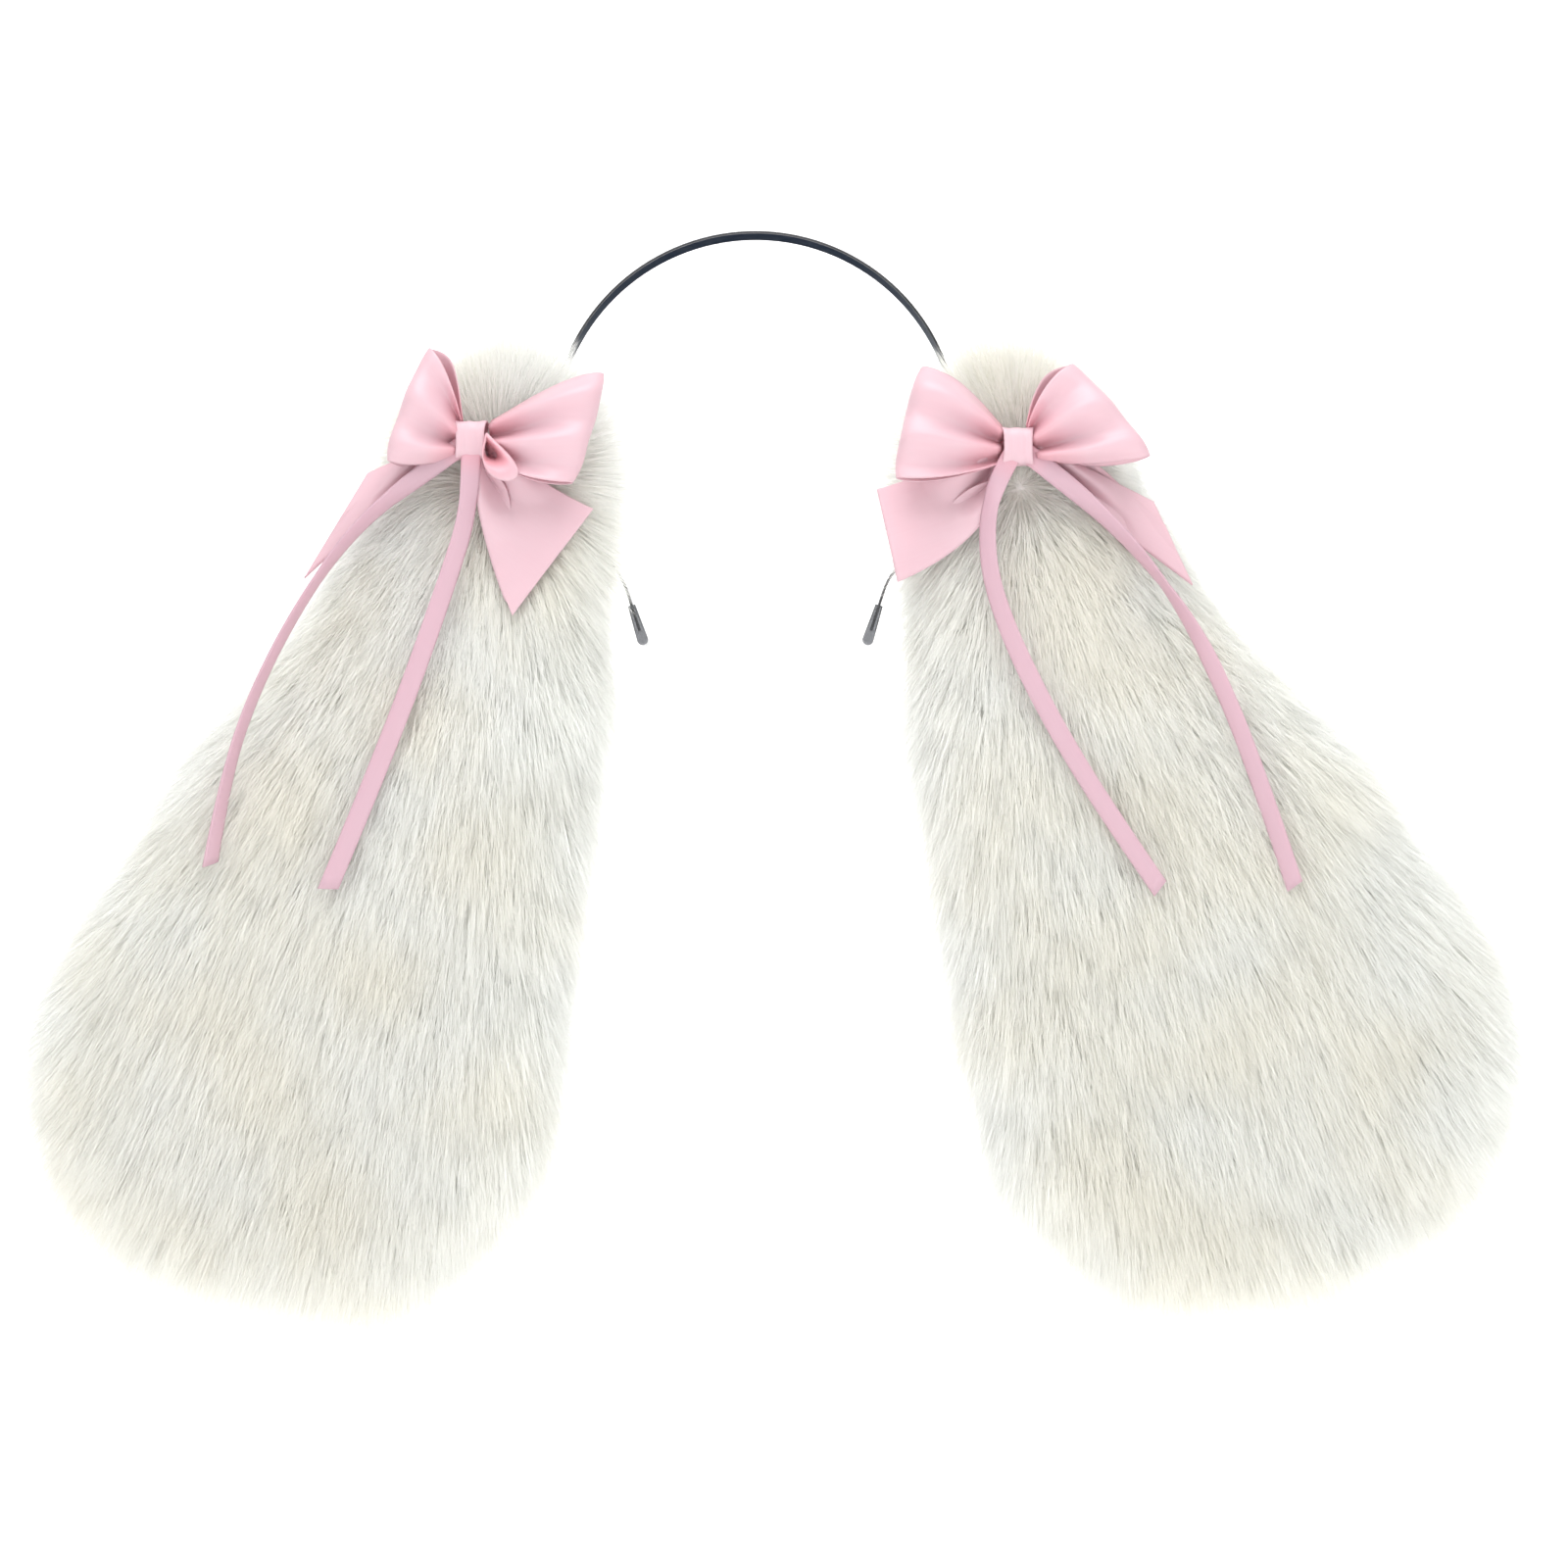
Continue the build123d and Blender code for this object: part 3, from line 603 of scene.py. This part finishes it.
def fibres(side, pad, material):
    """The pile of one ear. A fibre leaves its root between the normal and the comb, bends to the
    comb, and its tip is drawn towards the crest of each wave field, which makes the locks."""
    draw = np.random.default_rng(PILE_SEEDS[side])
    total = FIBRES * sum(len(parts) for parts in PILE_PIECES.values())
    root, normal = roots_on(pad, int(total * 1.1), draw)
    top, down, sideways = ear_axes(side, root)
    along = (root - top) @ down
    front = root[:, 1] < top[1]
    comb_start = np.where(front, COMB_START, BACK_COMB_START)[:, None]
    radial = (root - top - comb_start * down) * [1, 0, 1]
    beside = (root - top) @ sideways
    slim = smooth_step(beside, 0, 0.025) * (1 - smooth_step(along, 0.08, 0.15))
    bushy = smooth_step(-beside, 0, 0.025) * (1 - smooth_step(along, 0.02, 0.055))
    hang = 0.45 * smooth_step(along, 0.02, 0.07) + 0.7 * slim * smooth_step(along, 0.0, 0.04)
    comb = unit(unit(radial) + down * hang[:, None])

    knot = knot_middle(side)
    anchor = np.mean(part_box(f"{side}_anchor_stitches"), axis=0)
    from_knot = np.hypot(root[:, 0] - knot[0], root[:, 2] - knot[2])
    from_anchor = np.hypot(root[:, 0] - anchor[0], root[:, 2] - anchor[2])
    facing = np.abs(normal[:, 1])
    under_bow = 1 - smooth_step(from_knot, 0.018, 0.050)
    near_bow = 1 - smooth_step(from_knot, 0.065, 0.085)
    under_strip = 1 - smooth_step(from_anchor, 0.050, 0.110)
    pressed = np.where(front, 0.55 * under_bow, 0.38 + 0.57 * under_strip) * facing

    wild = draw.normal(size=root.shape)
    sway, _ = waves(root, 0.05, 5)
    length = FIBRE_LENGTH * (1 - NECK_TRIM * (1 - smooth_step(along, 0.01, 0.10)))
    length = length * (1 - SLIM_TRIM * slim) * (1 + BUSH_GROWTH * bushy)
    length = length * (1 - END_TRIM * smooth_step(along, 0.235, 0.29))
    length = length * draw.uniform(0.75, 1.12, len(root)) * (1 + 0.06 * sway)
    stand = (0.80 * (1 - pressed) * (1 - 0.55 * slim))[:, None]
    start = unit(stand * normal + 0.55 * comb + 0.16 * wild)
    end = unit(0.36 * stand * normal + comb + [0, 0, -0.22] + 0.12 * wild)
    tip_pull = np.zeros_like(root)
    for number, (spacing, share) in enumerate(LOCKS):
        _, slope = waves(root, spacing, 21 + number)
        tip_pull += share * slope * (spacing / (2 * np.pi)) ** 2
    tip_pull -= (tip_pull * normal).sum(1, keepdims=True) * normal * 0.7

    order = np.argsort(along)
    groups = {}
    for face, mask in (("front", front), ("back", ~front)):
        ranked = order[mask[order]]
        for part, chunk in zip(PILE_PIECES[face], np.array_split(ranked, len(PILE_PIECES[face]))):
            keep = chunk[np.sort(draw.permutation(len(chunk))[:FIBRES])]
            groups[f"{face}_{part}"] = keep

    tint, _ = waves(root, 0.045, 31)
    fine, _ = waves(root, 0.010, 32)
    tint = np.clip(0.5 + 0.22 * tint + 0.10 * fine + 0.12 * draw.normal(size=len(root)), 0, 1)
    # Painted rim light: fibres rooted where the pad turns sideways, round the ear's outline, move
    # towards the whiter colour.
    edge = smooth_step(np.abs(normal @ sideways), 0.35, 0.95)
    tint = np.clip(tint + 0.35 * edge, 0.02, 0.98)

    for group, pick in groups.items():
        steps = np.array(FIBRE_LEVELS)[:, None, None]
        reach = length[pick][:, None]
        path = root[pick] + reach * (steps * start[pick] + steps**2 / 2 * (end[pick] - start[pick]))
        path = path + steps**2 * tip_pull[pick]
        ahead = np.clip(FRONT_LIMIT + BOW_ROOM * near_bow[pick] - path[..., 1], 0, None)
        behind = np.clip(path[..., 1] - BACK_LIMIT, 0, None)
        path[..., 1] += FOLD_SHARE * (ahead - behind)
        heading = unit(path[-1] - path[0])
        spread = unit(np.cross(heading, normal[pick] + 0.8 * draw.normal(size=heading.shape)))
        half = FIBRE_WIDTH / 2 * np.array([1.0, 0.85])[:, None, None]
        left, right = path[:2] - half * spread, path[:2] + half * spread
        points = np.concatenate([np.stack([left, right], 1).reshape(4, -1, 3), path[2:]])
        points = points.transpose(1, 0, 2).reshape(-1, 3)
        base = 5 * np.arange(len(pick))[:, None]
        quads, tips = base + [0, 1, 3, 2], base + [2, 3, 4]
        level = np.array([0.02, 0.02, 0.55, 0.55, 0.98])
        uv = np.stack(np.broadcast_arrays(tint[pick][:, None], level), -1).reshape(-1, 2)
        piece = mesh_object(f"{side}_pile_{group}", points, [quads, tips], material, uv, "OFBake")
        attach(piece, f"{side}_ear")


pile = Finish("long_pile", Sheen_Weight=0.2, IOR=1.5, Specular_IOR_Level=0.35)
# First map coordinate: the fibre's random tone plus the painted rim light; second: root to tip.
tone_and_rim_light, height = pile.along_and_across("OFBake")
fibre_white = pile.mix(tone_and_rim_light, (0.925, 0.905, 0.83), (0.93, 0.94, 0.925))
# Painted shade: towards the root each fibre turns darker and creamier, as deep in the pile.
fibre_colour = pile.mix(((1 - height) ** 2.0) * 0.4, fibre_white, (0.93, 0.90, 0.82))
long_pile = pile.feed(Base_Color=fibre_colour, Roughness=0.50 + 0.2 * height)
glow = pile.node("ShaderNodeBsdfTranslucent", {}, {"Color": (0.98, 0.98, 0.96)})
blend = pile.node("ShaderNodeMixShader", {}, {0: 0.5, 1: pile.shader, 2: glow})
pile.links.new(blend.socket, pile.output.inputs["Surface"])
for side in SIDES:
    fibres(side, pads[side], long_pile)

# ---------------------------------------------------------------------------------------------
# Bows. A length of wide satin ribbon makes both loops, a second one the two tails, cut on the
# slant; both are pleated together at the middle, tied with thread and wrapped.
RIBBON_WIDTH = 0.038
RIBBON_THICKNESS = 0.00035
SATIN_WIDE = (0.80, 0.61, 0.665)
SATIN_WIDE_DEEP = (0.77, 0.53, 0.59)
SATIN_WIDE_THROUGH = (0.98, 0.60, 0.66)
WRAP_THICKNESS = 0.0006
CURLS = {("left", "inner"): (0.0088, -0.0062)}  # middle of the roll: away from the knot, and up
CURL_HALF_WIDTH = 0.0054
CURL_HALF_HEIGHT = 0.0076
HEM_RADIUS = 0.0006
GATHER = 0.0042  # half the height of the pleated middle
LOOP_LENGTH = 0.085  # ribbon from gather to gather
TAIL_LENGTH = 0.058  # and from gather to cut
LOOP_BELLY = 0.0068
LOOP_PLEATS = 2.3
LOOP_PHASE = {"inner": 0.6, "outer": -0.4}
TAIL_PLEATS = 2.1
LOOP_ENDS = {  # top and bottom corner of a loop's outer end: away from the knot, then up
    ("left", "inner"): ((0.0415, 0.0205), (0.0320, -0.0140)),
    ("left", "outer"): ((0.0125, 0.0280), (0.0255, -0.0070)),
    ("right", "inner"): ((0.0300, 0.0245), (0.0380, -0.0105)),
    ("right", "outer"): ((0.0170, 0.0250), (0.0410, -0.0035)),
}
TAIL_EDGES = {  # each edge's middle control and end, away from the knot and up; upper then lower
    ("left", "inner"): (((0.018, -0.012), (0.0377, -0.0208)), ((-0.001, -0.022), (0.0124, -0.0548))),
    ("left", "outer"): (((0.018, -0.003), (0.0337, -0.0095)), ((0.026, -0.017), (0.0530, -0.0425))),
    ("right", "inner"): (((0.020, -0.006), (0.0438, -0.0126)), ((0.006, -0.028), (0.0374, -0.0414))),
    ("right", "outer"): (((0.022, -0.006), (0.0438, -0.0165)), ((0.028, -0.022), (0.0555, -0.0425))),
}


def in_bow(side, part, away, up, forward):
    """Points from distances away from the knot, up and forward of its middle."""
    direction = SIDES[side] if part == "outer" else -SIDES[side]
    return knot_middle(side) + np.stack([direction * away, -forward, up], -1)


def pleat_depth(width, pleats):
    """Half depth of even pleats that take up the ribbon's spare width where it is drawn in: a
    wave whose length across is the ribbon's width, up to about twice the width it spans."""
    spare = np.clip(RIBBON_WIDTH / np.maximum(width, 1e-4), 1, 2.1) ** 2 - 1
    return width / (2 * np.pi * pleats) * np.sqrt(2 * spare)


def loop_points(side, part, rows=80, columns=57):
    """One loop. Along it the ribbon runs out and back; across it spans from the gathered middle
    to the line between the end's two corners, and its pleats fade as it reaches full width."""
    run = np.linspace(0.02, 0.98, rows)[:, None]
    share = np.linspace(-1, 1, columns)[None]
    top, bottom = (np.array(corner) for corner in LOOP_ENDS[side, part])
    middle, half = (top + bottom) / 2, (top - bottom) / 2
    reach = np.sin(np.pi * run) ** 0.9
    flare = 1 - (1 - reach) ** 1.7
    rear = smooth_step(run, 0.5, 0.8)
    away = reach * middle[0] + flare * half[0] * share + 0.0025 * (1 - reach)
    up = reach * middle[1] + flare * half[1] * share + (1 - flare) * GATHER * share
    raised = rear * reach * (0.5 + 0.5 * share)
    up = up + 0.0022 * raised
    away = away - 0.0030 * raised + 0.0016 * (1 - share**4) * reach**3
    phase = LOOP_PHASE[part]
    width = 2 * ((1 - flare) * GATHER + flare * np.hypot(*half))
    pleat = pleat_depth(width, LOOP_PLEATS) * np.cos(np.pi * (LOOP_PLEATS * share + phase))
    pleat = pleat * np.minimum(1, 0.5 + 4 * reach)
    pleat = pleat + 0.0016 * np.cos(np.pi * (1.3 * share + 2 * phase)) * reach * (1.15 - reach)
    belly = LOOP_BELLY * np.sin(2 * np.pi * run) * (1 - 0.35 * share**2)
    forward = belly + 0.0045 * reach + pleat + 0.0011 * np.sin(2.2 * share + 4 * run) * reach
    from_gather = LOOP_LENGTH * (0.5 - np.abs(run - 0.5))
    uv = np.stack(np.broadcast_arrays(from_gather, share * RIBBON_WIDTH / 2), -1)
    return in_bow(side, part, away, up, forward), uv


def tail_points(side, part, rows=60, columns=81):
    """One tail, between two curved edges that run from the gather to the cut's corners. Cloth
    beyond the lower edge turns round a small radius there, into a fold laid behind; the pleats
    by the gather open out towards the cut."""
    run = np.linspace(0.0, 1.0, rows)[:, None]
    share = np.linspace(-1, 1, columns)[None]

    def edge(start, control, end):
        start, control, end = (np.array(place) for place in (start, control, end))
        return (1 - run) ** 2 * start + 2 * run * (1 - run) * control + run**2 * end

    upper = edge((0.002, GATHER * 0.8), *TAIL_EDGES[side, part][0])
    lower = edge((0.002, -GATHER * 0.8), *TAIL_EDGES[side, part][1])
    between = upper - lower
    wide = np.linalg.norm(between, axis=-1, keepdims=True)
    heading = unit(np.gradient(upper + lower, axis=0))
    square = np.abs(between[:, :1] * heading[:, 1:] - between[:, 1:] * heading[:, :1])
    spare = np.clip(RIBBON_WIDTH - square, 0, None) * smooth_step(run, 0, 0.7)
    from_edge = (1 + share) / 2 * (wide + spare)
    beyond = np.clip(spare - from_edge, 0, None)
    turn = np.minimum(beyond / HEM_RADIUS, np.pi)
    rest = beyond - turn * HEM_RADIUS
    inward = np.where(beyond > 0, rest - HEM_RADIUS * np.sin(turn), from_edge - spare)
    lift = -HEM_RADIUS * (1 - np.cos(turn))
    flat = lower[:, None] + between[:, None] * (inward / wide)[..., None]
    depth = pleat_depth(square + spare, TAIL_PLEATS) * np.minimum(1, 0.4 + 5 * run)
    pleat = depth * np.cos(np.pi * (TAIL_PLEATS * share + 0.3))
    forward = -0.0022 + pleat + 0.0016 * np.sin(2.6 * run + 1.3 * share) * run - 0.0016 * run + lift
    uv = np.stack(np.broadcast_arrays(run * TAIL_LENGTH, share * RIBBON_WIDTH / 2), -1)
    return in_bow(side, part, flat[..., 0], flat[..., 1], forward), uv


def curl_points(side, part, rows=22, columns=73):
    """The tail's drop-shaped roll: a funnel that widens from the gather to a rim, which is
    narrow at the top as sin(t/2) is, round below, and turns back over a soft lip."""
    turn = np.linspace(0, 2 * np.pi, columns)[None]
    depth = np.linspace(0, 1, rows)[:, None]
    middle_away, middle_up = CURLS[side, part]
    size = 0.38 + 0.62 * depth**1.1
    wide = 1.3 * CURL_HALF_WIDTH * np.sin(turn) * np.sin(turn / 2) ** 1.5
    tall = CURL_HALF_HEIGHT * np.cos(turn)
    away = middle_away * (0.45 + 0.55 * size) + (wide - 0.42 * tall) * size
    up = middle_up * (0.25 + 0.75 * size) + tall * size
    forward = 0.0020 + 0.0068 * np.sin(0.66 * np.pi * depth) * (0.86 - 0.14 * np.cos(turn))
    # Painted shade: along stays inside the satin's gather stretch, so the roll's inside takes the
    # deep pink.
    uv = np.stack(np.broadcast_arrays(0.014 * depth**4, turn * 0.006), -1)
    return in_bow(side, part, away, up, forward), uv


def ribbon_piece(name, grids, material):
    """Several grids of one ribbon as one piece, thickened."""
    points, uvs, faces, first = [], [], [], 0
    for grid, uv in grids:
        faces.append(grid_faces(*grid.shape[:2], first))
        points.append(grid.reshape(-1, 3))
        uvs.append(uv.reshape(-1, 2))
        first += len(points[-1])
    piece = mesh_object(name, np.concatenate(points), faces, material, np.concatenate(uvs))
    return thicken(piece, RIBBON_THICKNESS)


def wrap_points(side, rows=64, columns=13):
    """The narrow ribbon round the middle: a rounded oblong ring, drawn in a little at its waist
    and creased lengthwise where it is pulled tight."""
    low, high = (np.array(corner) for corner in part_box(f"{side}_bow_knot_wrap"))
    middle, half = (low + high) / 2, (high - low) / 2
    turn = np.linspace(0, 2 * np.pi, rows, endpoint=False)[:, None]
    share = np.linspace(-1, 1, columns)[None]
    crease = 0.00012 * np.cos(7 * share + 0.6 * np.sin(turn)) - 0.00012 * (1 - share**2)
    deep = np.sign(np.cos(turn)) * np.abs(np.cos(turn)) ** 0.6 * (half[1] - 0.0004 + crease)
    tall = np.sign(np.sin(turn)) * np.abs(np.sin(turn)) ** 0.7 * (half[2] - 0.0001 + crease)
    wide = share * (half[0] - 0.0003 * (1 + np.cos(2 * turn)))
    points = middle + np.stack(np.broadcast_arrays(wide, deep, tall), -1)
    uv = np.stack(np.broadcast_arrays(0.02 + turn * 0.006, share * half[0]), -1)
    return points, uv


wide_satin = satin("wide_satin", SATIN_WIDE, SATIN_WIDE_DEEP, SATIN_WIDE_THROUGH)
for side in SIDES:
    body, knot_piece = f"{side}_ear", f"{side}_bow_knot_wrap"
    loops = ribbon_piece(f"{side}_bow_loop_ribbon",
                         [loop_points(side, part) for part in ("inner", "outer")], wide_satin)
    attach(loops, body)
    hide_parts(f"{side}_bow_loops")
    tail_grids = [tail_points(side, part) for part in ("inner", "outer")]
    tail_grids += [curl_points(*place) for place in CURLS if place[0] == side]
    tails = ribbon_piece(f"{side}_bow_tail_ribbon", tail_grids, wide_satin)
    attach(tails, body)
    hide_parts(f"{side}_bow_tails")

    points, uv = wrap_points(side)
    rows, columns = points.shape[:2]
    ring = grid_faces(columns, rows, closed=True)
    wrap = mesh_object(f"{side}_bow_wrap_ribbon", points.transpose(1, 0, 2).reshape(-1, 3), [ring],
                       wide_satin, uv.transpose(1, 0, 2).reshape(-1, 2))
    thicken(wrap, WRAP_THICKNESS)
    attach(wrap, body)
    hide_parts(knot_piece)

# ---------------------------------------------------------------------------------------------
# Studio. A white sweep runs from a floor up behind the object, under broad soft light, and the
# room round it is as white to the eye but lights the object less.
FLOOR = -0.34
WALL = 1.3
SWEEP_RADIUS = 0.5
STUDIO_HALF = 4.0
WORLD_LIGHT = 0.55

sweep = Finish("white_sweep", Base_Color=(0.95, 0.95, 0.95), Roughness=0.9,
               Emission_Color=(1.0, 1.0, 1.0), Emission_Strength=0.50)
bend = np.linspace(0, np.pi / 2, 25)
outline = np.concatenate([
    [[-STUDIO_HALF, FLOOR]],
    np.stack([WALL - SWEEP_RADIUS + SWEEP_RADIUS * np.sin(bend),
              FLOOR + SWEEP_RADIUS - SWEEP_RADIUS * np.cos(bend)], -1),
    [[WALL, FLOOR + 2 * STUDIO_HALF]],
])
sides = np.array([-STUDIO_HALF, STUDIO_HALF])
points = np.stack(np.broadcast_arrays(
    sides[None], outline[:, :1], outline[:, 1:]), -1).reshape(-1, 3)
backdrop = mesh_object("white_sweep", points, [grid_faces(len(outline), 2)], sweep.material)

world = bpy.data.worlds.new("studio")
world.use_nodes = True
around = world.node_tree
soft_light = around.nodes["Background"]
white_wall = around.nodes.new("ShaderNodeBackground")
for background, strength in ((soft_light, WORLD_LIGHT), (white_wall, 1.0)):
    background.inputs["Color"].default_value = (1, 1, 1, 1)
    background.inputs["Strength"].default_value = strength
seen = around.nodes.new("ShaderNodeLightPath")
either = around.nodes.new("ShaderNodeMixShader")
around.links.new(seen.outputs["Is Camera Ray"], either.inputs[0])
around.links.new(soft_light.outputs[0], either.inputs[1])
around.links.new(white_wall.outputs[0], either.inputs[2])
around.links.new(either.outputs[0], around.nodes["World Output"].inputs["Surface"])
scene.world = world

for name, place, size, power in (
    ("key", (-0.9, -1.3, 0.9), 1.2, 5.5),
    ("fill", (1.2, -1.0, 0.2), 1.4, 3.5),
    ("top", (0.0, -0.45, 0.75), 0.8, 8.0),
):
    light = bpy.data.lights.new(name, "AREA")
    light.size, light.energy = size, power
    lamp = bpy.data.objects.new(name, light)
    lamp.location = place
    aim = np.array([0, 0, -0.12]) - np.array(place)
    lamp.rotation_euler = (math.atan2(math.hypot(*aim[:2]), -aim[2]), 0,
                           math.atan2(aim[1], aim[0]) - math.pi / 2)
    scene.collection.objects.link(lamp)
scene.view_settings.view_transform = "Standard"
